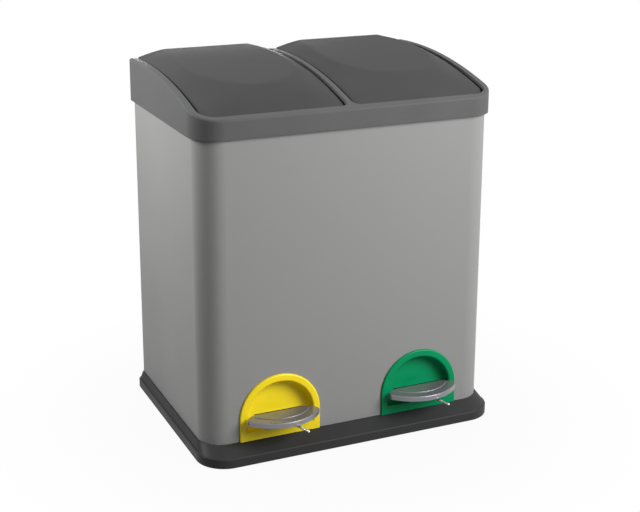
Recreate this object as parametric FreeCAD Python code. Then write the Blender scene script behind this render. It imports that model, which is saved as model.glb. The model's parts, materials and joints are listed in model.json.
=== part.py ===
"""Double recycling bin: two lidded compartments side by side in one painted steel body.

Each compartment has its own pedal, lever, push rod, lid and lift-out bucket.  Millimetres, +Z up,
+Y to the rear, X to the right.  Sizes are taken from the centre of the body at floor level; the
last step moves everything along Y so that the origin is the bottom centre of the whole box.
"""
import FreeCAD
import Part
import math
import os

V = FreeCAD.Vector
X_AXIS, Y_AXIS, Z_AXIS = V(1, 0, 0), V(0, 1, 0), V(0, 0, 1)

# ---------------------------------------------------------------- driving dimensions
# steel body
BODY_W = 384.0            # outer width
BODY_D = 254.0            # outer depth
BODY_CORNER = 30.0        # outer radius of the two front corners
SHEET = 1.0               # sheet thickness
BODY_TOP = 412.0          # top edge of the sheet
BACK_FLANGE = 14.0        # inward flange along each rear edge
SEAT = 0.2                # slack where one fixed piece seats in another
SCREW_R, SCREW_HEAD_R, SCREW_HEAD_H = 1.6, 3.4, 1.6
RIVET_ROWS, RIVET_END = 5, 40.0                       # rear rivets per side, first and last from the ends

# base
BASE_SIDE, BASE_FRONT, BASE_BACK = 7.0, 23.0, 8.5     # how far the base stands out of the body
BASE_CORNER, BASE_BACK_CORNER = 37.0, 12.0
BASE_RIM_Z = 1.5          # underside of the base's rim
BASE_CREASE_Z = 13.6      # where the upright rim turns into the sloping flange
BASE_SEAM_Z = 22.5        # where the flange meets the body
BASE_CREASE_IN = 2.0
BASE_EDGE_R = 1.9         # roundness of the rim's upper edge
BASE_WALL = 3.0
FLOOR_TOP, FLOOR_T = 10.5, 2.5
UPSTAND_T, UPSTAND_H = 2.4, 15.0
UNDER_RIB = 2.0           # thickness of the ribs under the floor
UNDER_RIBS_X, UNDER_RIBS_Y = (-120.0, -40.0, 40.0, 120.0), (-70.0, 60.0)
BASE_SCREWS_Y, BASE_SCREWS_X = (-60.0, 70.0), (-110.0, 110.0)
FOOT_R, FOOT_H, FOOT_INSET = 11.0, 2.0, 34.0

# lid surround
OVER = 4.5                # how far the surround stands out of the body
SURROUND_Z = BODY_TOP - 12.0                          # lower edge of its skirt
SURROUND_WALL = 2.6
SURROUND_SKIN = 2.5
SURROUND_BACK_CORNER = 5.0
BACK_WALL_Z = BODY_TOP + 33.0                         # top of its rear wall behind each lid
CROWN_Z, CROWN_Y = BODY_TOP + 44.0, BODY_D / 2 - 47.0                    # crest of its arched top edge
CROWN_FALL = 32.5         # how far that arc comes down to the front
SURROUND_EDGE_R = 3.0
RIM_W = 8.8               # width of the top rim at the sides and the front
RIB_HALF = 3.2            # half the width of the rib between the lids
MOUTH_CORNER, MOUTH_RIB_CORNER = 20.0, 10.0
MOUTH_LIP_T, MOUTH_LIP_H = 1.8, 7.0
SHELF_T = 2.5             # shelf that rests on the sheet and carries the buckets
LIP_T, LIP_H = 2.0, 8.0   # locating lip inside the sheet
RIB_WALL = 1.7
ROD_HOLE = 7.0            # half width of the shelf's holes for the push rods
SCREW_PAD = 5.0           # half width of the pads behind the rear screws

# lids
LID_GAP = 3.0             # gap in plan between a lid and its mouth
LID_WALL = 2.4
LID_SKIRT = 6.0
LID_DROP_BACK, LID_DROP_FRONT = 0.5, 3.2              # lid edge below the rim at each end
HINGE_BARREL = 16.0
HINGE_Z = BODY_TOP + 38.0
HINGE_BACK = 0.4          # air between the barrel and the rear wall
BARREL_END = -35.0        # degrees, where the barrel's wall stops under the hinge
LID_OPEN = 75.0           # degrees
DOME_IN, DOME_FRONT_IN = 19.25, 44.7                  # raised flat, in from the lid's sides and front
DOME_REAR = 126.0         # its half length behind the rear centre
DOME_FRONT_Y, DOME_REAR_Y = 10.0, 40.0
DOME_TOP_Y, DOME_R = BODY_D / 2 - 2.0, 1400.0         # the long arc of the raised flat
DOME_EDGE = 0.05          # softness of the edge of the raised flat
DOME_SOFT = 24.0          # how widely the lid's corner is blended
DOME_DIP = 1.0            # crest of the raised flat below the top of the hinge barrel
LID_EDGE_R = 2.0
BUFFER_R, BUFFER_X = 2.6, 50.0

# hinge pins
PIN_R, PIN_HEAD_R, PIN_IN_LID = 2.5, 4.0, 13.0
PIN_BOSS_T = 3.0
PIN_BOSS_R = 5.5
PIN_HEAD_T = 2.4
RUN = 0.05                # radial clearance of a running fit

# pedal covers
COVER_HALF = 53.0
COVER_ARC_Z = 49.5        # centre of the arch
COVER_PROUD = 2.8
COVER_RIM = 9.0
COVER_SILL = 10.6         # height of the band below the recess
COVER_DEPTH = 15.0
COVER_DRAFT = 5.0
COVER_WALL = 2.0
COVER_INNER_R, COVER_EDGE_R, COVER_LIP_R = 10.0, 2.0, 3.0
SLOT_LEFT, SLOT_RIGHT, SLOT_LOW = -29.0, 38.0, 34.8   # opening for the lever
HOOK_LOW, HOOK_TOP, HOOK_T, HOOK_CATCH = 40.0, 52.0, 2.5, 1.5             # snap hooks behind the sheet

# pedals
PEDAL_TOP = 55.0
SLOT_TOP = PEDAL_TOP - 6.0
PEDAL_T = 1.5
PEDAL_RIM_H = 6.3
PEDAL_BACK_Y = -BODY_D / 2 - 0.5
PEDAL_RIM_BACK_Y = -BODY_D / 2 - 7.5
PEDAL_TIP_Y = -BODY_D / 2 - 14.0
PEDAL_FRONT_Y = -BODY_D / 2 - 37.5
PEDAL_HALF, PEDAL_BACK_HALF = 47.5, 27.0
PEDAL_EDGE_R, PEDAL_TIP_R = 1.2, 5.0
SHOULDER_X, SHOULDER_Y = 2.4, 3.6                     # how far the shoulder bulges from a straight line
EMBOSS_IN, EMBOSS_W, EMBOSS_H, EMBOSS_ANGLE = 12.0, 4.0, 0.8, 50.0

# levers
LEVER_W, LEVER_T = 20.0, 2.0
LEVER_TIP_IN = 12.0       # the lever's tongue ends this far behind the pedal's front
LEVER_UNDER_SLOT = 1.5    # air between the lever and the top of the cover's slot
LEVER_LEVEL = 15.0        # half length of the lever's level part over its pivot
PIVOT_Y, PIVOT_Z = -BODY_D / 2 + 67.0, 34.0
AXLE_R = 3.0
CRANK = 17.0              # the push rod stands this far in front of the hinge
EAR_GAP, EAR_T, EAR_TOP = 1.0, 2.0, 7.0
BRACKET_LEN, BRACKET_FLANGE = 26.0, 12.0
BRACKET_EYE = 4.0         # metal round the axle
BRACKET_SCREWS_Y = (-7.5, 7.5)
AXLE_HEAD, AXLE_HEAD_T = 1.8, 1.6

# push rods
ROD_R, ROD_BEND = 2.5, 7.0
ROD_SIDE = 18.0           # the rod stands this far to the right of its lever's middle
HOOK_SLACK = 1.0          # room for the rod's hooks in their slots
LUG_T, LUG_WALL = 4.0, 3.4
GUIDE_Z, GUIDE_H = 240.0, 10.0
GUIDE_FOOT, GUIDE_FOOT_T, GUIDE_SCREW_X = 18.0, 3.0, 13.0
GUIDE_EYE, GUIDE_ARM = 3.5, 5.0                       # wall of the eye, half width of the arm
CLIP_R, CLIP_T = 5.5, 1.4

# catches under the pedals
CATCH_X, CATCH_Y = 4.3, -BODY_D / 2 - 17.7
CATCH_R, CATCH_LEN = 1.35, 35.5
CATCH_Z = PEDAL_TOP - 9.2
CATCH_ANGLE = 20.0        # degrees to the right of straight forward
STUD_R, STUD_HEAD, STUD_HEAD_T = 2.0, 1.8, 1.5

# buckets
BUCKET_SIDE_GAP = 11.25   # from the bucket's wall to the side of the mouth
BUCKET_FRONT_Y = -BODY_D / 2 + 16.5
BUCKET_ROD_GAP = 16.5     # from the bucket's wall to the push rod behind it
BUCKET_TAPER, BUCKET_SIDE_TAPER = 11.0, 7.0           # how far the walls draw in at the bottom
BUCKET_HOLE = 1.5         # room round the bucket in the shelf
BUCKET_Z = 64.0
BUCKET_WALL, BUCKET_FLOOR = 2.0, 2.5
BUCKET_CORNER = 20.0
BUCKET_RIM, BUCKET_RIM_T = 5.0, 2.5
BAIL_R, BAIL_BEND = 2.0, 2.6
BAIL_END_GAP = 16.75      # from the folded bail to the bucket's rear wall
BAIL_EAR_T, BAIL_EAR_R = 2.5, 5.0
BAIL_PIVOT_IN = 3.0
GRIP_R, GRIP_LEN = 5.5, 84.0
CLEAR = 0.3               # between pieces of different bodies

# ---------------------------------------------------------------- sizes worked out from those
HALF_W, HALF_D = BODY_W / 2, BODY_D / 2
OUT_X, OUT_Y = HALF_W + OVER, HALF_D + OVER
MOUTH_HALF = (OUT_X - RIM_W - RIB_HALF) / 2
UNIT_X = RIB_HALF + MOUTH_HALF                        # middle of each compartment
MOUTH_FRONT = -OUT_Y + RIM_W
MOUTH_BACK = OUT_Y - SURROUND_WALL
CROWN_R = ((CROWN_Y + OUT_Y) ** 2 + CROWN_FALL ** 2) / (2 * CROWN_FALL)
HINGE_Y = MOUTH_BACK - HINGE_BACK - HINGE_BARREL
LID_HALF = MOUTH_HALF - LID_GAP
LID_FRONT = MOUTH_FRONT + LID_GAP
LID_BACK = HINGE_Y + HINGE_BARREL
DOME_Z = HINGE_Z + HINGE_BARREL - DOME_DIP
DOME_HALF = LID_HALF - DOME_IN
DOME_FRONT = DOME_FRONT_Y - LID_FRONT - DOME_FRONT_IN
SHELF_TOP = BODY_TOP + SHELF_T
COVER_FACE = -HALF_D - COVER_PROUD
COVER_LOW = BASE_SEAM_Z + 0.1
RECESS_LOW = COVER_LOW + COVER_SILL
PANEL_Y = COVER_FACE + COVER_DEPTH
ROD_Y = HINGE_Y - CRANK
HALF_RISE = CRANK * math.tan(math.radians(LID_OPEN / 2))
FOOT_PIN_Z = PIVOT_Z - HALF_RISE
HEAD_PIN_Z = HINGE_Z - HALF_RISE
LEVER_ARM = math.hypot(ROD_Y - PIVOT_Y, HALF_RISE)
PEDAL_ANGLE = 2 * math.degrees(math.asin(HALF_RISE / LEVER_ARM))
PEDAL_UNDER = PEDAL_TOP - PEDAL_T
FRONT_REACH = -CATCH_Y + CATCH_LEN * math.cos(math.radians(CATCH_ANGLE)) + CATCH_R
BACK_REACH = HALF_D + BASE_BACK
Y_SHIFT = (FRONT_REACH - BACK_REACH) / 2              # moves the origin to the middle of the box
BUCKET_TOP_HALF = MOUTH_HALF - BUCKET_SIDE_GAP
BUCKET_BOTTOM_HALF = BUCKET_TOP_HALF - BUCKET_SIDE_TAPER
BUCKET_BACK_Y = ROD_Y - BUCKET_ROD_GAP
BUCKET_TOP = SHELF_TOP + CLEAR + BUCKET_RIM_T
BAIL_Y = (BUCKET_FRONT_Y + BUCKET_BACK_Y) / 2
BAIL_Z = BUCKET_TOP + CLEAR + BAIL_R
BAIL_REACH = BUCKET_BACK_Y - BAIL_Y - BAIL_END_GAP
BAIL_ARM_X = BUCKET_TOP_HALF + BUCKET_RIM - BAIL_R - CLEAR
BAIL_BOW = BAIL_ARM_X - GRIP_LEN / 2 - 0.7            # leaves a straight part just longer than the grip
SIDES = {"left": -UNIT_X, "right": UNIT_X}
SURROUND_SCREW_X = (-HALF_W + BACK_FLANGE / 2, 0.0, HALF_W - BACK_FLANGE / 2)
FAR = 600.0               # longer than the whole bin, for cutting solids


# ---------------------------------------------------------------- building blocks
def box(x0, x1, y0, y1, z0, z1):
    return Part.makeBox(x1 - x0, y1 - y0, z1 - z0, V(x0, y0, z0))


def cyl(radius, start, end):
    """Cylinder between two points."""
    along = end - start
    return Part.makeCylinder(radius, along.Length, start, along)


def plate(x0, x1, y0, y1, z0, z1, radii):
    """Upright prism on a rectangle; radii of its front-left, front-right, back-right and back-left corners."""
    corners = [V(x0, y0, z0), V(x1, y0, z0), V(x1, y1, z0), V(x0, y1, z0)]
    edges, ends = [], []
    for i, corner in enumerate(corners):
        radius = max(radii[i], 0.01)
        back = (corners[i - 1] - corner).normalize()
        ahead = (corners[(i + 1) % 4] - corner).normalize()
        start, end = corner + back * radius, corner + ahead * radius
        middle = corner + (back + ahead) * radius * (1 - math.sqrt(0.5))
        ends.append((start, middle, end))
    for i, (start, middle, end) in enumerate(ends):
        edges.append(Part.Arc(start, middle, end).toShape())
        edges.append(Part.makeLine(end, ends[(i + 1) % 4][0]))
    return Part.Face(Part.Wire(edges)).extrude(V(0, 0, z1 - z0))


def body_prism(grow, z0, z1, back_radius=1.5):
    """Prism on the body's outline, moved out by grow (in where it is negative)."""
    front = max(BODY_CORNER + grow, 1.0)
    rear = max(back_radius + grow, 0.2)
    x, y = HALF_W + grow, HALF_D + grow
    return plate(-x, x, -y, y, z0, z1, (front, front, rear, rear))


def crown(y, drop=0.0):
    """Height of the surround's top arc at y."""
    return CROWN_Z - drop - CROWN_R + math.sqrt(CROWN_R ** 2 - (y - CROWN_Y) ** 2)


def below_crown(drop, y0=-FAR / 2, y1=FAR / 2, z_low=300.0):
    """Everything under the surround's top arc, lowered by drop."""
    y_mid = (y0 + y1) / 2
    a, b, c = (V(-FAR / 2, y, crown(y, drop)) for y in (y0, y_mid, y1))
    low_a, low_c = V(a.x, y0, z_low), V(c.x, y1, z_low)
    wire = Part.Wire([Part.Arc(a, b, c).toShape(), Part.makeLine(c, low_c),
                      Part.makeLine(low_c, low_a), Part.makeLine(low_a, a)])
    return Part.Face(wire).extrude(V(FAR, 0, 0))


def side_prism(points, x0, x1):
    """Prism along X on a polygon of (y, z) points."""
    corners = [V(x0, y, z) for y, z in points]
    return Part.Face(Part.makePolygon(corners + corners[:1])).extrude(V(x1 - x0, 0, 0))


def fuse(pieces):
    """One clean solid out of pieces that touch or overlap."""
    whole = pieces[0].fuse(pieces[1:]) if len(pieces) > 1 else pieces[0]
    return whole.removeSplitter()


def cut(shape, *tools):
    for tool in tools:
        shape = shape.cut(tool)
    return shape


def bent_wire(points, radii, radius):
    """Round wire along straight runs through points, with an arc of the given radius at each bend."""
    edges, last = [], points[0]
    for i in range(1, len(points) - 1):
        corner = points[i]
        back = (points[i - 1] - corner).normalize()
        ahead = (points[i + 1] - corner).normalize()
        half = back.getAngle(ahead) / 2
        start = corner + back * (radii[i - 1] / math.tan(half))
        end = corner + ahead * (radii[i - 1] / math.tan(half))
        towards = (back + ahead).normalize()
        middle = corner + towards * (radii[i - 1] / math.sin(half) - radii[i - 1])
        edges += [Part.makeLine(last, start), Part.Arc(start, middle, end).toShape()]
        last = end
    edges.append(Part.makeLine(last, points[-1]))
    path = Part.Wire(edges)
    ring = Part.Wire([Part.makeCircle(radius, points[0], points[1] - points[0])])
    return path.makePipeShell([ring], True, False)


def screw(at, direction, shank_r, length, head_r=SCREW_HEAD_R, head_h=SCREW_HEAD_H):
    """Pan-head screw: at is under the head, direction points along the shank."""
    along = V(direction).normalize()
    shank = cyl(shank_r, at, at + along * length)
    head = cyl(head_r, at - along * head_h, at)
    crest = at - along * head_h
    rim = [e for e in head.Edges if e.Length > head_r and (e.CenterOfMass - crest).Length < 0.01]
    return shank.fuse(head.makeFillet(head_h * 0.45, rim)).removeSplitter()


def solids(shapes):
    return Part.makeCompound(shapes)


# ---------------------------------------------------------------- body
def arch_prism(grow, y0, y1, low):
    """Prism along Y on the pedal cover's arch, centred on x = 0."""
    half = COVER_HALF + grow
    left, right = V(-half, y0, COVER_ARC_Z), V(half, y0, COVER_ARC_Z)
    top = V(0, y0, COVER_ARC_Z + half)
    corner_l, corner_r = V(-half, y0, low), V(half, y0, low)
    wire = Part.Wire([Part.makeLine(corner_l, left), Part.Arc(left, top, right).toShape(),
                      Part.makeLine(right, corner_r), Part.makeLine(corner_r, corner_l)])
    return Part.Face(wire).extrude(V(0, y1 - y0, 0))


def make_body_shell():
    """Front and both sides in one bent sheet, with flanges turned in along the rear edges."""
    shell = body_prism(0, FLOOR_TOP, BODY_TOP).cut(body_prism(-SHEET, FLOOR_TOP - 1, BODY_TOP + 1))
    back = box(-HALF_W + BACK_FLANGE, HALF_W - BACK_FLANGE, HALF_D - 3, HALF_D + 3, 0, FAR)
    shell = shell.cut(back)
    for x in SIDES.values():
        hole = arch_prism(-COVER_RIM / 2, -HALF_D - 3, -HALF_D + 3, COVER_LOW + COVER_RIM / 2)
        shell = shell.cut(hole.translated(V(x, 0, 0)))
    return shell


def make_back_panel():
    """Flat sheet behind the rear opening, on the inner face of the flanges."""
    half = HALF_W - SHEET - 1.0
    y1 = HALF_D - SHEET
    return box(-half, half, y1 - SHEET, y1, FLOOR_TOP, BODY_TOP)


def back_panel_space():
    """Room for the back panel, cut out of what lines the sheet."""
    return box(-HALF_W, HALF_W, HALF_D - 2 * SHEET - SEAT, HALF_D + 1, 0, FAR)


def rear_rivets():
    """Blind rivets that hold the back panel to the flanges."""
    first, last = FLOOR_TOP + RIVET_END, BODY_TOP - RIVET_END
    rivets = []
    for x in (-HALF_W + BACK_FLANGE / 2, HALF_W - BACK_FLANGE / 2):
        for i in range(RIVET_ROWS):
            z = first + (last - first) * i / (RIVET_ROWS - 1)
            rivets.append(screw(V(x, HALF_D, z), V(0, -1, 0), SCREW_R, 2 * SHEET + 2.0, 3.2, 1.0))
    return rivets


# ---------------------------------------------------------------- base
def base_outline(inset, z0, z1):
    front, rear = BASE_CORNER - inset, max(BASE_BACK_CORNER - inset, 1.0)
    x = HALF_W + BASE_SIDE - inset
    return plate(-x, x, -HALF_D - BASE_FRONT + inset, HALF_D + BASE_BACK - inset, z0, z1,
                 (front, front, rear, rear))


def sole(shape):
    """The wire round the bottom face of a prism."""
    return min(shape.Faces, key=lambda f: f.CenterOfMass.z).OuterWire


def make_base():
    """Plastic base: upright rim, flange sloping up to the body, floor, ribs and foot bosses."""
    rim = base_outline(0, BASE_RIM_Z, BASE_CREASE_Z)
    rim = rim.makeFillet(BASE_EDGE_R, [e for e in rim.Edges if e.BoundBox.ZMin > BASE_CREASE_Z - 0.01])
    low = sole(base_outline(BASE_CREASE_IN, BASE_CREASE_Z, BASE_CREASE_Z + 1))
    high = sole(body_prism(SEAT + 1.2, BASE_SEAM_Z, BASE_SEAM_Z + 1))
    slope = Part.makeLoft([low, high], True, True)
    base = rim.fuse(slope).cut(body_prism(SEAT, FLOOR_TOP, FAR))
    base = base.cut(base_outline(BASE_WALL, 0, FLOOR_TOP - FLOOR_T))
    upstand = body_prism(-SHEET - SEAT, FLOOR_TOP, FLOOR_TOP + UPSTAND_H)
    upstand = upstand.cut(body_prism(-SHEET - SEAT - UPSTAND_T, FLOOR_TOP - 1, FAR)).cut(back_panel_space())
    parts = [base, upstand]
    under = base_outline(BASE_WALL - 0.5, BASE_RIM_Z + 0.5, FLOOR_TOP - FLOOR_T)
    half = UNDER_RIB / 2
    for x in UNDER_RIBS_X:
        parts.append(box(x - half, x + half, -FAR, FAR, BASE_RIM_Z, FAR).common(under))
    for y in UNDER_RIBS_Y:
        parts.append(box(-FAR, FAR, y - half, y + half, BASE_RIM_Z, FAR).common(under))
    for x, y in foot_places():
        parts.append(cyl(FOOT_R + 2, V(x, y, FOOT_H), V(x, y, FLOOR_TOP - FLOOR_T)))
    return fuse(parts)


def foot_places():
    x = HALF_W + BASE_SIDE - FOOT_INSET
    return [(sx * x, y) for sx in (-1, 1)
            for y in (-HALF_D - BASE_FRONT + FOOT_INSET, HALF_D + BASE_BACK - FOOT_INSET)]


def make_feet():
    feet = []
    for x, y in foot_places():
        pad = cyl(FOOT_R, V(x, y, 0), V(x, y, FOOT_H))
        stud = cyl(3.0, V(x, y, 0), V(x, y, FLOOR_TOP - FLOOR_T - 2))
        feet.append(pad.fuse(stud).removeSplitter())
    return feet


def base_screws():
    """Screws from the inside, through the upstand and the sheet, into the base's flange."""
    z = FLOOR_TOP + 6.0
    x, y = HALF_W - SHEET - SEAT - UPSTAND_T, HALF_D - SHEET - SEAT - UPSTAND_T
    reach = UPSTAND_T + SEAT + SHEET + SEAT + 2.0
    screws = []
    for side in (-1, 1):
        for along in BASE_SCREWS_Y:
            screws.append(screw(V(side * x, along, z), V(side, 0, 0), SCREW_R, reach))
    for across in BASE_SCREWS_X:
        screws.append(screw(V(across, y, z), V(0, 1, 0), SCREW_R, reach))
    return screws


# ---------------------------------------------------------------- lid surround
def mouth_prism(x, grow, z0, z1):
    """Plan shape of one lid mouth as a prism, moved out by grow."""
    outer = max(MOUTH_CORNER + grow, 1.0)
    inner = max(MOUTH_RIB_CORNER + grow, 1.0)
    radii = (outer, inner, 1.0, 1.0) if x < 0 else (inner, outer, 1.0, 1.0)
    half = MOUTH_HALF + grow
    return plate(x - half, x + half, MOUTH_FRONT - grow, MOUTH_BACK + min(grow, 0), z0, z1, radii)


def surround_prism(inset, z0, z1):
    front = BODY_CORNER + OVER - inset
    rear = max(SURROUND_BACK_CORNER - inset, 1.0)
    x, y = OUT_X - inset, OUT_Y - inset
    return plate(-x, x, -y, y, z0, z1, (front, front, rear, rear))


def top_edges(block):
    """Edges round the arched top of the surround's block."""
    upper = [e for e in block.Edges if e.BoundBox.ZMin > SURROUND_Z + 1]
    return [e for e in upper if e.BoundBox.XLength > 0.01 or e.BoundBox.YLength > 0.01]


def make_surround():
    """Moulded top frame: skirt, arched rim, rib between the lids, shelf and hinge bosses."""
    top = DOME_Z + 15
    skin = surround_prism(0, SURROUND_Z, top).common(below_crown(0))
    skin = skin.makeFillet(SURROUND_EDGE_R, top_edges(skin))
    skin = skin.cut(surround_prism(SURROUND_WALL, SURROUND_Z - 1, top).common(below_crown(SURROUND_SKIN)))
    shelf = surround_prism(SURROUND_WALL - 0.5, BODY_TOP, SHELF_TOP)
    lip = body_prism(-SHEET - CLEAR, BODY_TOP - LIP_H, BODY_TOP + 0.5)
    lip = lip.cut(body_prism(-SHEET - CLEAR - LIP_T, SURROUND_Z, FAR)).cut(back_panel_space())
    rib = box(-RIB_HALF, RIB_HALF, -OUT_Y + 1.5, OUT_Y - 1, BODY_TOP, top).common(below_crown(0))
    hollow = box(-RIB_HALF + RIB_WALL, RIB_HALF - RIB_WALL, MOUTH_FRONT + 4, HINGE_Y - 10, BODY_TOP - 1, top)
    rib = rib.cut(hollow.common(below_crown(SURROUND_SKIN)))
    for x in SIDES.values():
        skin = skin.cut(mouth_prism(x, 0, SHELF_TOP + 0.1, top))
        skin = skin.cut(box(x - MOUTH_HALF, x + MOUTH_HALF, MOUTH_BACK - 1, OUT_Y + 1, BACK_WALL_Z, top))
        half = BUCKET_TOP_HALF + BUCKET_HOLE
        hole = plate(x - half, x + half, BUCKET_FRONT_Y - BUCKET_HOLE, BUCKET_BACK_Y + BUCKET_HOLE, 0, FAR,
                     [BUCKET_CORNER + BUCKET_HOLE] * 4)
        rod_x = x + ROD_SIDE
        rod_hole = box(rod_x - ROD_HOLE, rod_x + ROD_HOLE, ROD_Y - ROD_HOLE, ROD_Y + ROD_HOLE, 0, FAR)
        shelf = cut(shelf, hole, rod_hole)
    parts = [skin, shelf, lip, rib]
    for x in SIDES.values():
        ring = mouth_prism(x, MOUTH_LIP_T, SHELF_TOP, top).cut(mouth_prism(x, 0, SHELF_TOP - 1, top + 1))
        ring = ring.common(below_crown(0.1)).cut(below_crown(MOUTH_LIP_H))
        ring = ring.cut(box(-FAR, FAR, MOUTH_BACK - 1, FAR, BACK_WALL_Z - 1, FAR))
        parts.append(ring)
        side = math.copysign(1, x)
        face = side * (OUT_X - RIM_W)
        boss = box(min(face, face + side * PIN_BOSS_T), max(face, face + side * PIN_BOSS_T),
                   HINGE_Y - 12, OUT_Y - 1, HINGE_Z - 16, top)
        parts.append(boss.common(below_crown(0.5)))
    for x in SURROUND_SCREW_X:
        pad = box(x - SCREW_PAD, x + SCREW_PAD, HALF_D + SEAT, OUT_Y - 1, SURROUND_Z, BODY_TOP + 0.5)
        parts.append(pad.common(surround_prism(1, SURROUND_Z, top)))
    return fuse(parts)


def hinge_pins():
    """A headed pin at each cheek and one through the rib."""
    pins = []
    for side in (-1, 1):
        outer = side * (OUT_X - RIM_W + PIN_BOSS_T)
        tip = side * (UNIT_X + LID_HALF - PIN_IN_LID)
        pin = cyl(PIN_R, V(outer, HINGE_Y, HINGE_Z), V(tip, HINGE_Y, HINGE_Z))
        head = cyl(PIN_HEAD_R, V(outer, HINGE_Y, HINGE_Z), V(outer + side * PIN_HEAD_T, HINGE_Y, HINGE_Z))
        pins.append(pin.fuse(head).removeSplitter())
    reach = RIB_HALF + LID_GAP + PIN_IN_LID
    pins.append(cyl(PIN_R, V(-reach, HINGE_Y, HINGE_Z), V(reach, HINGE_Y, HINGE_Z)))
    return pins


def surround_screws():
    """Screws through the rear of the skirt into the back panel."""
    z = SURROUND_Z + 6.0
    return [screw(V(x, OUT_Y, z), V(0, -1, 0), SCREW_R, OVER + 2 * SHEET) for x in SURROUND_SCREW_X]


def lid_buffers():
    """Rubber buttons on the shelf, under the front skirt of each lid."""
    y = LID_FRONT + LID_WALL / 2
    top = lid_lower(y) - CLEAR
    return [cyl(BUFFER_R, V(x + dx, y, SHELF_TOP), V(x + dx, y, top))
            for x in SIDES.values() for dx in (-BUFFER_X, BUFFER_X)]


# ---------------------------------------------------------------- lids
def lid_drop(y):
    """How far the lid's edge lies below the surround's arc."""
    share = (y - LID_FRONT) / (HINGE_Y - LID_FRONT)
    return LID_DROP_FRONT + (LID_DROP_BACK - LID_DROP_FRONT) * min(max(share, 0.0), 1.0)


def lid_lower(y):
    """Lower edge of the lid's skirt."""
    return crown(y) - lid_drop(y) - LID_SKIRT


def smooth_min(a, b, k):
    h = max(k - abs(a - b), 0.0) / k
    return min(a, b) - h * h * k / 4


def lid_top(u, y):
    """Height of the lid's outer surface; u is measured from the lid's middle."""
    y = min(y, HINGE_Y)
    edge = crown(y) - lid_drop(y)
    flat = DOME_Z - (y - DOME_TOP_Y) ** 2 / (2 * DOME_R)
    if y < DOME_FRONT_Y:
        v, half = y - DOME_FRONT_Y, DOME_FRONT
    else:
        v, half = max(y - DOME_REAR_Y, 0.0), DOME_REAR
    rho = math.hypot(u / DOME_HALF, v / half) + 1e-6
    slope = math.hypot(u / DOME_HALF ** 2, v / half ** 2) / rho + 1e-6
    outside = (rho - 1) / slope
    inside = smooth_min(LID_HALF - abs(u), y - LID_FRONT, DOME_SOFT)
    share = outside / max(abs(outside) + max(inside, 0.0), 1e-6)
    ramp = (share + math.sqrt(share ** 2 + DOME_EDGE ** 2)) / (1 + math.sqrt(1 + DOME_EDGE ** 2))
    return flat - (flat - edge) * ramp


def below_lid_top(drop):
    """Solid under the lid's outer surface, lowered by drop, centred on x = 0."""
    columns, rows = 37, 45
    x_reach, y0, y1 = LID_HALF + 2, LID_FRONT - 2, LID_BACK + 4
    grid = []
    for i in range(columns):
        u = -x_reach + 2 * x_reach * i / (columns - 1)
        grid.append([V(u, y, lid_top(u, y) - drop)
                     for y in (y0 + (y1 - y0) * j / (rows - 1) for j in range(rows))])
    surface = Part.BSplineSurface()
    surface.interpolate(grid)
    return surface.toShape().extrude(V(0, 0, -100))


def lid_side(inset):
    """Side view of the lid as a prism: skirt line, hinge barrel and clear air above.

    It runs past the lid's front and sides, which the plan shape trims.  The inset one is the void
    inside the lid, so it also runs on below the skirt.
    """
    x = LID_HALF + 5
    barrel = HINGE_BARREL - inset
    end, middle = math.radians(BARREL_END), math.radians((BARREL_END + 90) / 2)
    front, top = LID_FRONT - 5, DOME_Z + 20
    heel = V(-x, HINGE_Y + barrel * math.cos(end), HINGE_Z + barrel * math.sin(end))
    bulge = V(-x, HINGE_Y + barrel * math.cos(middle), HINGE_Z + barrel * math.sin(middle))
    crest = V(-x, HINGE_Y, HINGE_Z + barrel)
    if inset:
        start = V(-x, front, BODY_TOP)
        corner = V(-x, heel.y, BODY_TOP)
        edges = [Part.makeLine(start, corner), Part.makeLine(corner, heel)]
    else:
        knee = HINGE_Y - HINGE_BARREL - PIN_BOSS_R
        half_way = (front + knee) / 2
        start = V(-x, front, lid_lower(front))
        bend = V(-x, knee, lid_lower(knee))
        under = V(-x, knee + HINGE_BARREL, heel.z)
        edges = [Part.Arc(start, V(-x, half_way, lid_lower(half_way)), bend).toShape(),
                 Part.makeLine(bend, under), Part.makeLine(under, heel)]
    above, above_front = V(-x, HINGE_Y, top), V(-x, front, top)
    edges += [Part.Arc(heel, bulge, crest).toShape(), Part.makeLine(crest, above),
              Part.makeLine(above, above_front), Part.makeLine(above_front, start)]
    return Part.Face(Part.Wire(edges)).extrude(V(2 * x, 0, 0))


def lid_plan(side, inset):
    """Plan shape of a lid as a prism; its outer front corner is rounder than the one at the rib."""
    outer, inner = MOUTH_CORNER - LID_GAP - inset, MOUTH_RIB_CORNER - LID_GAP - inset
    radii = (outer, inner, 1.0, 1.0) if side < 0 else (inner, outer, 1.0, 1.0)
    half = LID_HALF - inset
    return plate(-half, half, LID_FRONT + inset, LID_BACK + 1, BODY_TOP - 1, DOME_Z + 21, radii)


def radial(reach):
    """Point at this distance from the hinge, towards where the push rod's hook is at rest."""
    angle = math.radians(LID_OPEN / 2)
    return V(0, HINGE_Y - reach * math.cos(angle), HINGE_Z - reach * math.sin(angle))


def stadium(near, far, radius, x0, x1):
    """Round-ended bar along X between two points of the YZ plane."""
    along = (far - near).normalize()
    side = V(0, -along.z, along.y) * radius
    tip, heel = far + along * radius, near - along * radius
    edges = [Part.makeLine(near + side, far + side), Part.Arc(far + side, tip, far - side).toShape(),
             Part.makeLine(far - side, near - side), Part.Arc(near - side, heel, near + side).toShape()]
    bar = Part.Face(Part.Wire(edges)).extrude(V(x1 - x0, 0, 0))
    return bar.translated(V(x0, 0, 0))


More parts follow.
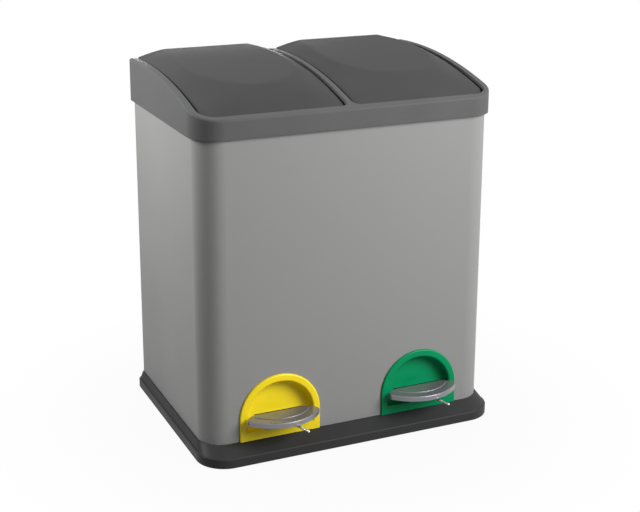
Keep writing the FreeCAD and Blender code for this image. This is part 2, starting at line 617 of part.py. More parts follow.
def make_lid(side):
    """Domed lid with its hinge barrel, two pin bosses, ribs and the slotted lug for the push rod."""
    outer = lid_plan(side, 0).common(lid_side(0)).common(below_lid_top(0))
    dome = max(outer.Faces, key=lambda f: f.Area)
    rolled = [e for e in dome.Edges if e.BoundBox.YMax < HINGE_Y - 0.5 or e.BoundBox.XLength < 1]
    outer = outer.makeFillet(LID_EDGE_R, rolled)
    void = lid_plan(side, LID_WALL).common(lid_side(LID_WALL)).common(below_lid_top(LID_WALL))
    lid = outer.cut(void)
    room = outer.common(below_lid_top(LID_WALL / 2))
    near = radial(CRANK - HOOK_SLACK)
    far = radial(CRANK / math.cos(math.radians(LID_OPEN / 2)) + HOOK_SLACK)
    lug_x = ROD_SIDE - ROD_BEND - EAR_GAP
    lug = stadium(near, far, ROD_R + HOOK_SLACK + LUG_WALL, lug_x - LUG_T, lug_x)
    web = box(lug_x - LUG_T, lug_x, far.y - LUG_WALL, HINGE_Y, far.z, DOME_Z)
    parts = [lid, lug, web.common(room)]
    for end in (-1, 1):
        a, b = end * LID_HALF, end * (LID_HALF - PIN_IN_LID - 1)
        boss = cyl(PIN_BOSS_R, V(a, HINGE_Y, HINGE_Z), V(b, HINGE_Y, HINGE_Z))
        stay = box(min(a, b), max(a, b), HINGE_Y - 1, HINGE_Y + 1, HINGE_Z, DOME_Z)
        parts += [boss.common(outer), stay.common(room)]
    lid = fuse(parts)
    for end in (-1, 1):
        bore_end = V(end * (LID_HALF - PIN_IN_LID - CLEAR), HINGE_Y, HINGE_Z)
        lid = lid.cut(cyl(PIN_R + RUN, V(end * (LID_HALF + 1), HINGE_Y, HINGE_Z), bore_end))
    return lid.cut(stadium(near, far, ROD_R + HOOK_SLACK, lug_x - LUG_T - 1, lug_x + 1))


# ---------------------------------------------------------------- pedal covers
def recess(grow):
    """The hollow behind the cover's rim as a solid, moved out by grow; it narrows to the rear."""
    wires = []
    for y, half in ((COVER_FACE, COVER_HALF - COVER_RIM), (PANEL_Y, COVER_HALF - COVER_RIM - COVER_DRAFT)):
        back = grow if y == PANEL_Y else 0.0
        prism = arch_prism(half - COVER_HALF + grow, y + back, y + back + 1, RECESS_LOW - grow)
        wires.append(min(prism.Faces, key=lambda f: f.CenterOfMass.y).OuterWire)
    hollow = Part.makeLoft(wires, True, True)
    rear = PANEL_Y + grow
    edges = [e for e in hollow.Edges if abs(e.CenterOfMass.y - rear) < 0.01]
    return hollow.makeFillet(COVER_INNER_R + grow, edges)


def face_edges(shape):
    """Edges that lie in the front face of a pedal cover."""
    return [e for e in shape.Edges if e.BoundBox.YMax < COVER_FACE + 0.01]


def make_cover():
    """Moulded scoop round the pedal: rim outside the sheet, recessed panel behind it, snap hooks."""
    flange = arch_prism(0, COVER_FACE, -HALF_D, COVER_LOW)
    rim = [e for e in face_edges(flange) if e.CenterOfMass.z > COVER_LOW + 1]
    flange = flange.makeFillet(COVER_EDGE_R, rim)
    parts = [flange, recess(COVER_WALL)]
    behind = -HALF_D + SHEET + SEAT
    inner = COVER_HALF - COVER_RIM
    reach = COVER_HALF - COVER_RIM / 2 + HOOK_CATCH
    stem = COVER_HALF - COVER_RIM / 2 - SEAT
    for start, outer in ((behind, reach), (-HALF_D - 1, stem)):
        hook = box(inner, outer, start, behind + HOOK_T, HOOK_LOW, HOOK_TOP)
        parts += [hook, hook.mirror(V(0, 0, 0), X_AXIS)]
    cover = fuse(parts).cut(recess(0))
    mouth = [e for e in face_edges(cover) if e.BoundBox.XMin > -inner - 0.1 and e.BoundBox.XMax < inner + 0.1]
    cover = cover.makeFillet(COVER_LIP_R, [e for e in mouth if e.BoundBox.ZLength > 1])
    return cover.cut(box(SLOT_LEFT, SLOT_RIGHT, PANEL_Y - COVER_INNER_R, PANEL_Y + COVER_WALL + 1,
                         SLOT_LOW, SLOT_TOP))


# ---------------------------------------------------------------- pedals and levers
def pedal_front_arc():
    """Centre and radius, in plan, of the arc through the two tips and the front."""
    sagitta = PEDAL_TIP_Y - PEDAL_FRONT_Y
    radius = (PEDAL_HALF ** 2 + sagitta ** 2) / (2 * sagitta)
    return PEDAL_FRONT_Y + radius, radius


def pedal_outline(z):
    """Straight back edge, a round shoulder to each tip, and one long arc across the front."""
    back_l, back_r = V(-PEDAL_BACK_HALF, PEDAL_BACK_Y, z), V(PEDAL_BACK_HALF, PEDAL_BACK_Y, z)
    tip_l, tip_r = V(-PEDAL_HALF, PEDAL_TIP_Y, z), V(PEDAL_HALF, PEDAL_TIP_Y, z)
    shoulder_y = (PEDAL_BACK_Y + PEDAL_TIP_Y) / 2 + SHOULDER_Y
    shoulder = V((PEDAL_BACK_HALF + PEDAL_HALF) / 2 + SHOULDER_X, shoulder_y, z)
    edges = [Part.makeLine(back_l, back_r), Part.Arc(back_r, shoulder, tip_r).toShape(),
             Part.Arc(tip_r, V(0, PEDAL_FRONT_Y, z), tip_l).toShape(),
             Part.Arc(tip_l, V(-shoulder.x, shoulder.y, z), back_l).toShape()]
    return Part.Face(Part.Wire(edges))


def round_tips(block, radius):
    """Rounds the upright edges at the two tips of a pedal-shaped block."""
    reach = block.BoundBox.XMax - 3.0
    tips = [e for e in block.Edges if e.BoundBox.ZLength > 1 and abs(e.CenterOfMass.x) > reach]
    return block.makeFillet(radius, tips)


def make_pedal():
    """Stamped plate with a turned-down rim round its front and a raised arc across its tread."""
    low = PEDAL_TOP - PEDAL_RIM_H
    tread = round_tips(pedal_outline(low).extrude(V(0, 0, PEDAL_RIM_H)), PEDAL_TIP_R)
    upper = [e for e in tread.Edges if abs(e.CenterOfMass.z - PEDAL_TOP) < 0.01]
    tread = tread.makeFillet(PEDAL_EDGE_R, [e for e in upper if e.CenterOfMass.y < PEDAL_BACK_Y - 1])
    inner = pedal_outline(low - 1).makeOffset2D(-PEDAL_T).extrude(V(0, 0, PEDAL_UNDER - low + 1))
    inner = round_tips(inner, PEDAL_TIP_R - PEDAL_T)
    open_back = box(-FAR, FAR, PEDAL_RIM_BACK_Y, 0, 0, PEDAL_UNDER)
    centre_y, radius = pedal_front_arc()
    centre = V(0, centre_y, PEDAL_UNDER)
    outer_r = radius - EMBOSS_IN
    ridge = Part.makeCylinder(outer_r, PEDAL_T + EMBOSS_H, centre, Z_AXIS, 2 * EMBOSS_ANGLE)
    ridge = ridge.cut(Part.makeCylinder(outer_r - EMBOSS_W, FAR, centre))
    ridge.rotate(centre, Z_AXIS, -90 - EMBOSS_ANGLE)
    crest = [e for e in ridge.Edges if e.CenterOfMass.z > PEDAL_TOP + EMBOSS_H - 0.01]
    ridge = ridge.makeFillet(EMBOSS_H * 0.7, crest)
    return fuse([cut(tread, inner, open_back), ridge])


def lever_line():
    """Side view of the lever's upper face, from under the pedal to the push rod."""
    bar_top = PIVOT_Z + EAR_TOP
    return [(PEDAL_FRONT_Y + LEVER_TIP_IN, PEDAL_UNDER), (PEDAL_BACK_Y - 3, PEDAL_UNDER),
            (PANEL_Y - 3, SLOT_TOP - LEVER_UNDER_SLOT),
            (PIVOT_Y - LEVER_LEVEL, bar_top), (PIVOT_Y + LEVER_LEVEL, bar_top),
            (ROD_Y + 8, FOOT_PIN_Z + EAR_TOP + LEVER_T)]


def make_lever():
    """Flat steel bar with turned-down ears at its pivot and one ear with a slot for the push rod."""
    top = lever_line()
    half = LEVER_W / 2
    bar = side_prism(top + [(y, z - LEVER_T) for y, z in reversed(top)], -half, half)
    pivot = V(0, PIVOT_Y, PIVOT_Z)
    lift = V(0, 0, EAR_TOP - 1)
    ears = stadium(pivot, pivot + lift, EAR_TOP, -half, half)
    bar_space = box(-half, half, PIVOT_Y - LEVER_LEVEL, PIVOT_Y + LEVER_LEVEL, PIVOT_Z + EAR_TOP, FAR)
    hook = V(0, ROD_Y, FOOT_PIN_Z)
    rear = stadium(hook, hook + V(0, 0, EAR_TOP), EAR_TOP, half - EAR_T, half)
    rear_top = FOOT_PIN_Z + EAR_TOP
    over_rear = side_prism([(ROD_Y - 12, rear_top + LEVER_T), (ROD_Y + 12, rear_top + 1),
                            (ROD_Y + 12, FAR), (ROD_Y - 12, FAR)], -half, half)
    between = box(-half + EAR_T, half - EAR_T, PIVOT_Y - 20, PIVOT_Y + 20, 0, PIVOT_Z + EAR_TOP - LEVER_T)
    ears = ears.cut(bar_space).cut(between)
    lever = fuse([bar, ears, rear.cut(over_rear)])
    slot = stadium(hook - V(0, HOOK_SLACK, 0), hook + V(0, HOOK_SLACK, 0), ROD_R + HOOK_SLACK / 2,
                   half - EAR_T - 1, half + 1)
    bore = cyl(AXLE_R + RUN, V(-half - 1, PIVOT_Y, PIVOT_Z), V(half + 1, PIVOT_Y, PIVOT_Z))
    return cut(lever, slot, bore)


def make_bracket():
    """Folded bracket on the base's floor that carries the lever's axle."""
    inner = LEVER_W / 2 + EAR_GAP
    outer = inner + EAR_T
    y0, y1 = PIVOT_Y - BRACKET_LEN / 2, PIVOT_Y + BRACKET_LEN / 2
    parts = [box(-outer - BRACKET_FLANGE, outer + BRACKET_FLANGE, y0, y1, FLOOR_TOP, FLOOR_TOP + EAR_T)]
    for x0 in (-outer, inner):
        eye = AXLE_R + BRACKET_EYE
        corners = [(y0, FLOOR_TOP), (y1, FLOOR_TOP), (PIVOT_Y + eye, PIVOT_Z), (PIVOT_Y - eye, PIVOT_Z)]
        parts.append(side_prism(corners, x0, x0 + EAR_T))
        parts.append(cyl(eye, V(x0, PIVOT_Y, PIVOT_Z), V(x0 + EAR_T, PIVOT_Y, PIVOT_Z)))
    return fuse(parts).cut(cyl(AXLE_R, V(-FAR, PIVOT_Y, PIVOT_Z), V(FAR, PIVOT_Y, PIVOT_Z)))


def make_axle():
    """Pivot pin of the lever, headed at both ends outside the bracket."""
    outer = LEVER_W / 2 + EAR_GAP + EAR_T
    pieces = [cyl(AXLE_R, V(-outer, PIVOT_Y, PIVOT_Z), V(outer, PIVOT_Y, PIVOT_Z))]
    for end in (-1, 1):
        start, stop = V(end * outer, PIVOT_Y, PIVOT_Z), V(end * (outer + AXLE_HEAD_T), PIVOT_Y, PIVOT_Z)
        pieces.append(cyl(AXLE_R + AXLE_HEAD, start, stop))
    return fuse(pieces)


def bracket_screws():
    x = LEVER_W / 2 + EAR_GAP + EAR_T + BRACKET_FLANGE / 2
    z = FLOOR_TOP + EAR_T
    return [screw(V(unit + end * x, PIVOT_Y + dy, z), V(0, 0, -1), SCREW_R, EAR_T + FLOOR_T + 1.5)
            for unit in SIDES.values() for end in (-1, 1) for dy in BRACKET_SCREWS_Y]


# ---------------------------------------------------------------- push rods
def make_rod():
    """Vertical wire behind the bucket, with a hook at each end turned in to the left."""
    tip = ROD_SIDE - ROD_BEND - 2 * EAR_GAP - LUG_T - CLIP_T - 1.5
    points = [V(tip, ROD_Y, HEAD_PIN_Z), V(ROD_SIDE, ROD_Y, HEAD_PIN_Z),
              V(ROD_SIDE, ROD_Y, FOOT_PIN_Z), V(tip, ROD_Y, FOOT_PIN_Z)]
    return bent_wire(points, [ROD_BEND, ROD_BEND], ROD_R)


def rod_clips():
    """Push-on washers that keep the hooks in the lid's lug and in the lever's ear."""
    top = ROD_SIDE - ROD_BEND - EAR_GAP - LUG_T - CLEAR
    low = LEVER_W / 2 - EAR_T - CLEAR
    clips = []
    for x, z in ((top, HEAD_PIN_Z), (low, FOOT_PIN_Z)):
        disc = cyl(CLIP_R, V(x - CLIP_T, ROD_Y, z), V(x, ROD_Y, z))
        clips.append(disc.cut(cyl(ROD_R, V(x - CLIP_T - 1, ROD_Y, z), V(x + 1, ROD_Y, z))))
    return clips


def make_guide():
    """Plastic arm on the back panel with the eye that the push rod slides in."""
    panel = HALF_D - 2 * SHEET
    z0, z1 = GUIDE_Z - GUIDE_H / 2, GUIDE_Z + GUIDE_H / 2
    foot = box(ROD_SIDE - GUIDE_FOOT, ROD_SIDE + GUIDE_FOOT, panel - GUIDE_FOOT_T, panel, z0, z1)
    arm = box(ROD_SIDE - GUIDE_ARM, ROD_SIDE + GUIDE_ARM, ROD_Y, panel - 1, z0, z1)
    eye = cyl(ROD_R + GUIDE_EYE, V(ROD_SIDE, ROD_Y, z0), V(ROD_SIDE, ROD_Y, z1))
    bore = cyl(ROD_R + RUN, V(ROD_SIDE, ROD_Y, z0 - 1), V(ROD_SIDE, ROD_Y, z1 + 1))
    return fuse([foot, arm, eye]).cut(bore)


def guide_screws():
    y = HALF_D - 2 * SHEET - GUIDE_FOOT_T
    return [screw(V(unit + ROD_SIDE + dx, y, GUIDE_Z), V(0, 1, 0), SCREW_R, GUIDE_FOOT_T + SHEET)
            for unit in SIDES.values() for dx in (-GUIDE_SCREW_X, GUIDE_SCREW_X)]


# ---------------------------------------------------------------- catches
def make_catch_stud():
    """Stud under the lever's tongue that the catch wire turns on."""
    wire_top, wire_low = CATCH_Z + CATCH_R + RUN, CATCH_Z - CATCH_R - RUN
    under = PEDAL_UNDER - LEVER_T
    at = V(CATCH_X, CATCH_Y, 0)
    return fuse([cyl(STUD_R + STUD_HEAD, at + V(0, 0, wire_top), at + V(0, 0, under)),
                 cyl(STUD_R, at + V(0, 0, wire_low), at + V(0, 0, wire_top)),
                 cyl(STUD_R + STUD_HEAD, at + V(0, 0, wire_low - STUD_HEAD_T), at + V(0, 0, wire_low))])


def make_catch():
    """Wire with an eye on the stud; its round tip stands out beyond the pedal."""
    at = V(CATCH_X, CATCH_Y, CATCH_Z)
    angle = math.radians(CATCH_ANGLE)
    ahead = V(math.sin(angle), -math.cos(angle), 0)
    eye = cyl(STUD_R + RUN + 2 * CATCH_R, at - Z_AXIS * CATCH_R, at + Z_AXIS * CATCH_R)
    arm = cyl(CATCH_R, at + ahead * (STUD_R + CATCH_R), at + ahead * CATCH_LEN)
    tip = Part.makeSphere(CATCH_R, at + ahead * CATCH_LEN)
    return fuse([eye, arm, tip]).cut(cyl(STUD_R + RUN, at - Z_AXIS * 5, at + Z_AXIS * 5))


# ---------------------------------------------------------------- buckets
def bucket_wire(z, inset):
    """Plan outline of the bucket at height z, as a wire."""
    share = (BUCKET_TOP - z) / (BUCKET_TOP - BUCKET_Z)
    half = BUCKET_TOP_HALF + (BUCKET_BOTTOM_HALF - BUCKET_TOP_HALF) * share - inset
    y0 = BUCKET_FRONT_Y + BUCKET_TAPER * share + inset
    y1 = BUCKET_BACK_Y - BUCKET_TAPER * share - inset
    return sole(plate(-half, half, y0, y1, z, z + 1, [BUCKET_CORNER - inset] * 4))


def make_bucket():
    """Tapered lift-out bucket with an out-turned rim and two ears for the bail."""
    floor = BUCKET_Z + BUCKET_FLOOR
    outer = Part.makeLoft([bucket_wire(BUCKET_Z, 0), bucket_wire(BUCKET_TOP, 0)], True, True)
    inside = [bucket_wire(floor, BUCKET_WALL), bucket_wire(BUCKET_TOP + 1, BUCKET_WALL)]
    inner = Part.makeLoft(inside, True, True)
    rim = plate(-BUCKET_TOP_HALF - BUCKET_RIM, BUCKET_TOP_HALF + BUCKET_RIM, BUCKET_FRONT_Y - BUCKET_RIM,
                BUCKET_BACK_Y + BUCKET_RIM, BUCKET_TOP - BUCKET_RIM_T, BUCKET_TOP,
                [BUCKET_CORNER + BUCKET_RIM] * 4)
    parts = [fuse([outer, rim]).cut(inner)]
    foot = BUCKET_TOP - BUCKET_RIM_T / 2
    for x0 in (-BUCKET_TOP_HALF, BUCKET_TOP_HALF - BAIL_EAR_T):
        x1 = x0 + BAIL_EAR_T
        disc = cyl(BAIL_EAR_R, V(x0, BAIL_Y, BAIL_Z), V(x1, BAIL_Y, BAIL_Z))
        parts.append(disc.cut(box(x0 - 1, x1 + 1, BAIL_Y - FAR, BAIL_Y + FAR, 0, foot)))
        parts.append(box(x0, x1, BAIL_Y - BAIL_EAR_R, BAIL_Y + BAIL_EAR_R, foot, BAIL_Z))
    bore = cyl(BAIL_R + RUN, V(-BUCKET_TOP_HALF - 1, BAIL_Y, BAIL_Z), V(BUCKET_TOP_HALF + 1, BAIL_Y, BAIL_Z))
    return fuse(parts).cut(bore)


def make_bail():
    """Wire bail, folded to the rear on the bucket's rim."""
    tip, y_end = BUCKET_TOP_HALF - BAIL_EAR_T - BAIL_PIVOT_IN, BAIL_Y + BAIL_REACH
    points = [V(tip, BAIL_Y, BAIL_Z), V(BAIL_ARM_X, BAIL_Y, BAIL_Z), V(BAIL_ARM_X, y_end, BAIL_Z),
              V(-BAIL_ARM_X, y_end, BAIL_Z), V(-BAIL_ARM_X, BAIL_Y, BAIL_Z), V(-tip, BAIL_Y, BAIL_Z)]
    return bent_wire(points, [BAIL_BEND, BAIL_BOW, BAIL_BOW, BAIL_BEND], BAIL_R)


def make_grip():
    """Moulded grip round the middle of the bail."""
    y = BAIL_Y + BAIL_REACH
    a, b = V(-GRIP_LEN / 2, y, BAIL_Z), V(GRIP_LEN / 2, y, BAIL_Z)
    grip = cyl(GRIP_R, a, b)
    ends = [e for e in grip.Edges if abs(abs(e.CenterOfMass.x) - GRIP_LEN / 2) < 0.01]
    grip = grip.makeFillet(GRIP_R * 0.4, ends)
    return grip.cut(cyl(BAIL_R, a - X_AXIS, b + X_AXIS))


# ---------------------------------------------------------------- assembly
def make_nodes():
    """Every node by name, in the frame of the body's middle."""
    rivets, low_screws, top_screws = rear_rivets(), base_screws(), surround_screws()
    floor_screws, arm_screws, feet = bracket_screws(), guide_screws(), make_feet()
    pins = hinge_pins()
    nodes = {
        "steel_body_shell": cut(make_body_shell(), *rivets, *low_screws, *top_screws),
        "back_panel": cut(make_back_panel(), *rivets, *low_screws, *top_screws, *arm_screws),
        "back_rivets": solids(rivets),
        "base_plinth": cut(make_base(), *low_screws, *floor_screws, *feet),
        "base_feet": solids(feet),
        "base_screws": solids(low_screws),
        "lid_surround": cut(make_surround(), *top_screws, *pins),
        "surround_screws": solids(top_screws),
        "lid_buffers": solids(lid_buffers()),
        "hinge_pins": solids(pins),
        "bracket_screws": solids(floor_screws),
        "guide_screws": solids(arm_screws),
    }
    makers = {"pedal_cover": make_cover, "pedal_plate": make_pedal, "lever_arm": make_lever,
              "lever_bracket": make_bracket, "lever_axle": make_axle, "catch_stud": make_catch_stud,
              "catch_wire": make_catch, "push_rod": make_rod, "rod_clips": lambda: solids(rod_clips()),
              "rod_guide": make_guide, "inner_bucket": make_bucket, "bail_wire": make_bail,
              "bail_grip": make_grip}
    for name, make in makers.items():
        piece = make()
        for side, x in SIDES.items():
            nodes[name + "_" + side] = piece.translated(V(x, 0, 0))
    for side, x in SIDES.items():
        nodes["lid_" + side] = make_lid(x).translated(V(x, 0, 0))
        nodes["lever_bracket_" + side] = cut(nodes["lever_bracket_" + side], *floor_screws)
        nodes["rod_guide_" + side] = cut(nodes["rod_guide_" + side], *arm_screws)
    return nodes


def main():
    os.makedirs("parts", exist_ok=True)
    low, high = V(FAR, FAR, FAR), V(-FAR, -FAR, -FAR)
    for name, shape in sorted(make_nodes().items()):
        shape = shape.translated(V(0, Y_SHIFT, 0))
        shape.exportStep("parts/" + name + ".step")
        bounds = shape.BoundBox
        low = V(min(low.x, bounds.XMin), min(low.y, bounds.YMin), min(low.z, bounds.ZMin))
        high = V(max(high.x, bounds.XMax), max(high.y, bounds.YMax), max(high.z, bounds.ZMax))
        print(name, "solids", len(shape.Solids), "valid", shape.isValid(), "volume %.0f" % shape.Volume)
    print("box", low, high)
    print("y shift %.6f unit x %.3f pedal angle %.3f rod rise %.3f"
          % (Y_SHIFT, UNIT_X, PEDAL_ANGLE, 2 * HALF_RISE))
    print("pin heights: foot %.3f head %.3f rod y %.3f bail y %.3f z %.3f"
          % (FOOT_PIN_Z, HEAD_PIN_Z, ROD_Y, BAIL_Y, BAIL_Z))


main()
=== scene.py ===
"""Looks of the double recycling bin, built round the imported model. Metres, +Z up, front at -Y."""
import json
import math

import bpy
from mathutils import Matrix, Vector

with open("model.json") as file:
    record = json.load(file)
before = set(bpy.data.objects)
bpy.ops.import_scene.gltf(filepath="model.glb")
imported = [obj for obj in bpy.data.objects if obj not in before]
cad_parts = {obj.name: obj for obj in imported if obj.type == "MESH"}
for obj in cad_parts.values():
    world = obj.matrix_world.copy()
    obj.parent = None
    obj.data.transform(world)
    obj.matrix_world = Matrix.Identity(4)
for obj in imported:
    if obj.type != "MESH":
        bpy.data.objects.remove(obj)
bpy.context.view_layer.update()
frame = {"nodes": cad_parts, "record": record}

# ---------------------------------------------------------------- camera (angles in radians)
LENS_MM, SENSOR_MM = 74.35, 36.0
CAMERA_AT = (-0.65873, -1.47531, 0.75133)
CAMERA_YAW, CAMERA_PITCH, CAMERA_ROLL = -0.4224, 0.2761, -0.0041
CAMERA_SHIFT = -0.1       # the photograph's uprights converge less than its viewing height would give
CLIP_START = 0.05

# ---------------------------------------------------------------- studio
WHITE = (1, 1, 1, 1)
SOFT_LIGHT = 0.09                         # strength of the world's light on the object
FLOOR_REACH = 6.0                         # half the floor's side
FLOOR_GREY, FLOOR_ROUGHNESS = 0.25, 0.9
GLOW_NEAR, GLOW_FAR = 0.95, 1.0           # how far the floor glows white, close to the object and away from it
SHADOW_FULL, SHADOW_GONE = 0.20, 0.45     # distances from the middle between which the shadow runs out
LOW_SPREAD, WIDE_SPREAD = 100, 180        # lamps' beam angles in degrees

# ---------------------------------------------------------------- finishes
NOISE_LOW, NOISE_HIGH = 0.3, 0.7          # the range that most of a noise lies in
PLASTIC_GRAIN = 0.0007                    # size of a moulded surface's grain
ALONG_X = (1, 40, 40)                     # stretches a noise into streaks along X
EVEN = (3, 3, 3)                          # the same all ways, for rolled sheet
COAT_ROUGHNESS = 0.14
TONES = {                                 # nodes whose tone differs from the rest of their slot; the lids' darker copy of the dark plastic is painted shade
    "base_plinth": "base_plastic", "lid_left": "lid_plastic_painted_shade", "lid_right": "lid_plastic_painted_shade",
    "back_rivets": "zinc_sheet", "surround_screws": "zinc_sheet", "guide_screws": "zinc_sheet",
}


def put_in_scene(obj):
    bpy.context.scene.collection.objects.link(obj)


def make_camera():
    """Camera at the photograph's viewing angle."""
    data = bpy.data.cameras.new("camera")
    data.lens, data.sensor_width, data.shift_y = LENS_MM, SENSOR_MM, CAMERA_SHIFT
    data.clip_start = CLIP_START
    camera = bpy.data.objects.new("camera", data)
    put_in_scene(camera)
    turn = (Matrix.Rotation(CAMERA_YAW, 3, "Z") @ Matrix.Rotation(-CAMERA_PITCH, 3, "X")
            @ Matrix.Rotation(CAMERA_ROLL, 3, "Y"))
    look = turn @ Matrix.Rotation(math.radians(90), 3, "X")
    camera.matrix_world = Matrix.Translation(CAMERA_AT) @ look.to_4x4()
    bpy.context.scene.camera = camera


# ---------------------------------------------------------------- node helpers
def new_material(name):
    """Material with its node tree and its shader."""
    material = bpy.data.materials.new(name)
    material.use_nodes = True
    return material, material.node_tree, material.node_tree.nodes["Principled BSDF"]


def add(tree, kind, **values):
    """New node; a value goes to the input of that name, or to the node's own setting."""
    node = tree.nodes.new(kind)
    for key, value in values.items():
        name = key.replace("_", " ")
        if name in node.inputs:
            node.inputs[name].default_value = value
        else:
            setattr(node, key, value)
    return node


def place(tree, scale=(1, 1, 1)):
    """Object coordinates in metres, stretched by scale."""
    where = add(tree, "ShaderNodeTexCoord")
    mapping = add(tree, "ShaderNodeMapping")
    mapping.inputs["Scale"].default_value = scale
    tree.links.new(where.outputs["Object"], mapping.inputs["Vector"])
    return mapping.outputs["Vector"]


def noise(tree, vector, per_metre, detail=2.0, roughness=0.5):
    """Noise with about so many spots per metre."""
    node = add(tree, "ShaderNodeTexNoise", Scale=per_metre, Detail=detail, Roughness=roughness)
    tree.links.new(vector, node.inputs["Vector"])
    return node.outputs["Fac"]


def spread(tree, factor, low, high, start=NOISE_LOW, end=NOISE_HIGH):
    """Maps a factor from start..end to low..high."""
    node = add(tree, "ShaderNodeMapRange")
    for name, value in (("From Min", start), ("From Max", end), ("To Min", low), ("To Max", high)):
        node.inputs[name].default_value = value
    tree.links.new(factor, node.inputs["Value"])
    return node.outputs["Result"]


def vary_colour(tree, shader, factor, colour, darkest, lightest):
    """Base colour that a noise takes from darkest to lightest times the colour."""
    node = add(tree, "ShaderNodeMix", data_type="RGBA")
    tree.links.new(spread(tree, factor, 0.0, 1.0), node.inputs["Factor"])
    for side, share in (("A", darkest), ("B", lightest)):
        node.inputs[side].default_value = (*(channel * share for channel in colour), 1)
    tree.links.new(node.outputs["Result"], shader.inputs["Base Color"])


def vary_roughness(tree, shader, factor, smoothest, roughest):
    tree.links.new(spread(tree, factor, smoothest, roughest), shader.inputs["Roughness"])


def bump(tree, shader, layers):
    """Stacks bumps on a shader; each layer is (height, strength, distance in metres)."""
    normal = None
    for height, strength, distance in layers:
        node = add(tree, "ShaderNodeBump", Strength=strength, Distance=distance)
        tree.links.new(height, node.inputs["Height"])
        if normal:
            tree.links.new(normal, node.inputs["Normal"])
        normal = node.outputs["Normal"]
    tree.links.new(normal, shader.inputs["Normal"])


def mix_shaders(tree, factor, first, second):
    """Output of a mix that is all first at 0 and all second at 1."""
    mix = add(tree, "ShaderNodeMixShader")
    tree.links.new(factor, mix.inputs["Fac"])
    tree.links.new(first.outputs[0], mix.inputs[1])
    tree.links.new(second.outputs[0], mix.inputs[2])
    return mix.outputs[0]


# ---------------------------------------------------------------- materials
def powder_coat(name, colour, specular=0.2):
    """Satin grey paint with a fine orange-peel skin."""
    material, tree, shader = new_material(name)
    where = place(tree)
    cloud = noise(tree, where, per_metre=9.0, detail=3.0)
    grain = noise(tree, where, per_metre=2600.0, detail=2.0, roughness=0.6)
    peel = noise(tree, where, per_metre=420.0, detail=1.5)
    vary_colour(tree, shader, grain, colour, darkest=0.93, lightest=1.07)
    vary_roughness(tree, shader, cloud, smoothest=0.40, roughest=0.47)
    shader.inputs["Specular IOR Level"].default_value = specular
    bump(tree, shader, [(grain, 0.10, 0.00012), (peel, 0.05, 0.0003)])
    return material


def moulded(name, colour, roughness, grain_depth=0.16, specular=0.5):
    """Moulded plastic with a fine eroded grain and slow changes in gloss."""
    material, tree, shader = new_material(name)
    where = place(tree)
    grain = noise(tree, where, per_metre=1 / PLASTIC_GRAIN, detail=3.0, roughness=0.65)
    cloud = noise(tree, where, per_metre=14.0, detail=4.0)
    vary_colour(tree, shader, cloud, colour, darkest=0.94, lightest=1.06)
    vary_roughness(tree, shader, cloud, smoothest=roughness - 0.03, roughest=roughness + 0.04)
    shader.inputs["Specular IOR Level"].default_value = specular
    bump(tree, shader, [(grain, grain_depth, 0.00015), (cloud, 0.03, 0.002)])
    return material


def brushed(name, colour, roughness, stretch=ALONG_X, metallic=1.0, coat=0.0):
    """Brushed or rolled steel with fine streaks, and a clear skin where it has a coat."""
    material, tree, shader = new_material(name)
    streaks = noise(tree, place(tree, stretch), per_metre=90.0, detail=4.0, roughness=0.7)
    cloud = noise(tree, place(tree), per_metre=40.0, detail=3.0)
    vary_colour(tree, shader, streaks, colour, darkest=0.8, lightest=1.12)
    vary_roughness(tree, shader, cloud, smoothest=roughness - 0.05, roughest=roughness + 0.07)
    shader.inputs["Metallic"].default_value = metallic
    shader.inputs["Coat Weight"].default_value = coat
    shader.inputs["Coat Roughness"].default_value = COAT_ROUGHNESS
    bump(tree, shader, [(streaks, 0.12, 0.00008)])
    return material


def make_materials():
    """One material per slot of the record, and the tones that a slot is split into."""
    made = {
        "body_paint": powder_coat("body_paint", (0.232, 0.231, 0.229)),
        "dark_plastic": moulded("dark_plastic", (0.093, 0.093, 0.094), 0.55, specular=0.08),
        # the lids get the same plastic as the surround, darkened as painted shade for their less lit tops
        "lid_plastic_painted_shade": moulded("lid_plastic_painted_shade", (0.054, 0.054, 0.055), 0.58, specular=0.06),
        "base_plastic": moulded("base_plastic", (0.031, 0.031, 0.032), 0.45, specular=0.10),
        "yellow_plastic": moulded("yellow_plastic", (0.81, 0.63, 0.010), 0.30,
                                  grain_depth=0.05, specular=0.26),
        "green_plastic": moulded("green_plastic", (0.0, 0.225, 0.083), 0.32,
                                 grain_depth=0.05, specular=0.10),
        "bucket_plastic": moulded("bucket_plastic", (0.03, 0.03, 0.031), 0.5),
        "grip_plastic": moulded("grip_plastic", (0.03, 0.03, 0.031), 0.45),
        "rubber": moulded("rubber", (0.016, 0.016, 0.016), 0.75, grain_depth=0.3, specular=0.25),
        "guide_plastic": moulded("guide_plastic", (0.55, 0.55, 0.51), 0.4),
        "pedal_steel": brushed("pedal_steel", (0.205, 0.202, 0.218), 0.32, metallic=0.5, coat=0.35),
        "plated_steel": brushed("plated_steel", (0.74, 0.74, 0.74), 0.22),
        "zinc_sheet": brushed("zinc_sheet", (0.46, 0.47, 0.48), 0.42, stretch=EVEN),
    }
    slots = {row["node"]: row["material_slot"] for row in frame["record"]["subparts"]}
    for name, obj in frame["nodes"].items():
        obj.data.materials.clear()
        obj.data.materials.append(made[TONES.get(name, slots[name])])


# ---------------------------------------------------------------- world, floor and lamps
def sees_background(tree):
    """Factor that is 1 for camera, glossy and transmission rays."""
    path = add(tree, "ShaderNodeLightPath")
    total = path.outputs["Is Camera Ray"]
    for name in ("Is Glossy Ray", "Is Transmission Ray"):
        node = add(tree, "ShaderNodeMath", operation="MAXIMUM")
        tree.links.new(total, node.inputs[0])
        tree.links.new(path.outputs[name], node.inputs[1])
        total = node.outputs[0]
    return total


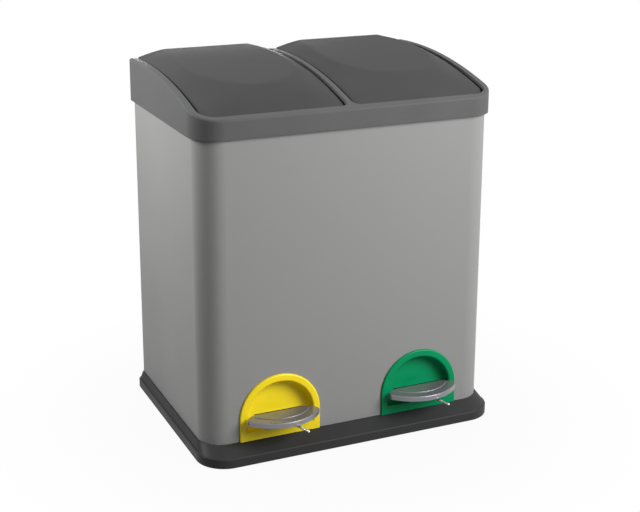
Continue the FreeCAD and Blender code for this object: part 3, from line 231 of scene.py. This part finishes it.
def make_world():
    """Soft grey light all round, seen as white."""
    world = bpy.data.worlds.new("studio")
    bpy.context.scene.world = world
    world.use_nodes = True
    tree = world.node_tree
    tree.nodes.clear()
    out = add(tree, "ShaderNodeOutputWorld")
    soft = add(tree, "ShaderNodeBackground", Color=WHITE, Strength=SOFT_LIGHT)
    white = add(tree, "ShaderNodeBackground", Color=WHITE, Strength=1.0)
    tree.links.new(mix_shaders(tree, sees_background(tree), soft, white), out.inputs["Surface"])


def make_floor():
    """White floor that keeps a soft shadow close to the object and runs out into the world's white."""
    mesh = bpy.data.meshes.new("floor")
    corners = [(x * FLOOR_REACH, y * FLOOR_REACH, 0) for x, y in ((-1, -1), (1, -1), (1, 1), (-1, 1))]
    mesh.from_pydata(corners, [], [(0, 1, 2, 3)])
    floor = bpy.data.objects.new("floor", mesh)
    put_in_scene(floor)
    material, tree, shader = new_material("floor")
    shader.inputs["Base Color"].default_value = (FLOOR_GREY, FLOOR_GREY, FLOOR_GREY, 1)
    shader.inputs["Roughness"].default_value = FLOOR_ROUGHNESS
    glow = add(tree, "ShaderNodeEmission", Color=WHITE, Strength=1.0)
    where = add(tree, "ShaderNodeTexCoord")
    away = add(tree, "ShaderNodeVectorMath", operation="LENGTH")
    tree.links.new(where.outputs["Object"], away.inputs[0])
    far = spread(tree, away.outputs["Value"], GLOW_NEAR, GLOW_FAR, SHADOW_FULL, SHADOW_GONE)
    factor = add(tree, "ShaderNodeMath", operation="MULTIPLY")
    tree.links.new(far, factor.inputs[0])
    tree.links.new(sees_background(tree), factor.inputs[1])
    surface = tree.nodes["Material Output"].inputs["Surface"]
    tree.links.new(mix_shaders(tree, factor.outputs[0], shader, glow), surface)
    mesh.materials.append(material)


def area_light(name, at, size, watts, target, beam=WIDE_SPREAD):
    """Square lamp of that size, aimed at target."""
    data = bpy.data.lights.new(name, "AREA")
    data.shape = "SQUARE"
    data.size, data.energy, data.spread = size, watts, math.radians(beam)
    lamp = bpy.data.objects.new(name, data)
    put_in_scene(lamp)
    lamp.location = at
    lamp.rotation_euler = (Vector(target) - Vector(at)).to_track_quat("-Z", "Y").to_euler()


def make_lights():
    """A wide lamp to the front right, one to the left, one above and a low one behind."""
    area_light("front_right", at=(0.72, -1.08, 1.0), size=0.85, watts=33, target=(0.05, 0, 0.5))
    area_light("left", at=(-0.80, 0.30, 0.80), size=0.35, watts=3.6, target=(-0.1, 0, 0.52),
               beam=LOW_SPREAD)
    area_light("top", at=(0.05, 0.05, 1.6), size=0.7, watts=1.5, target=(0, 0, 0.4))
    area_light("rear", at=(0.25, 1.10, 0.30), size=0.5, watts=4.5, target=(0, 0, 0.24),
               beam=LOW_SPREAD)


make_camera()
make_materials()
make_world()
make_floor()
make_lights()
bpy.context.scene.view_settings.view_transform = "Standard"
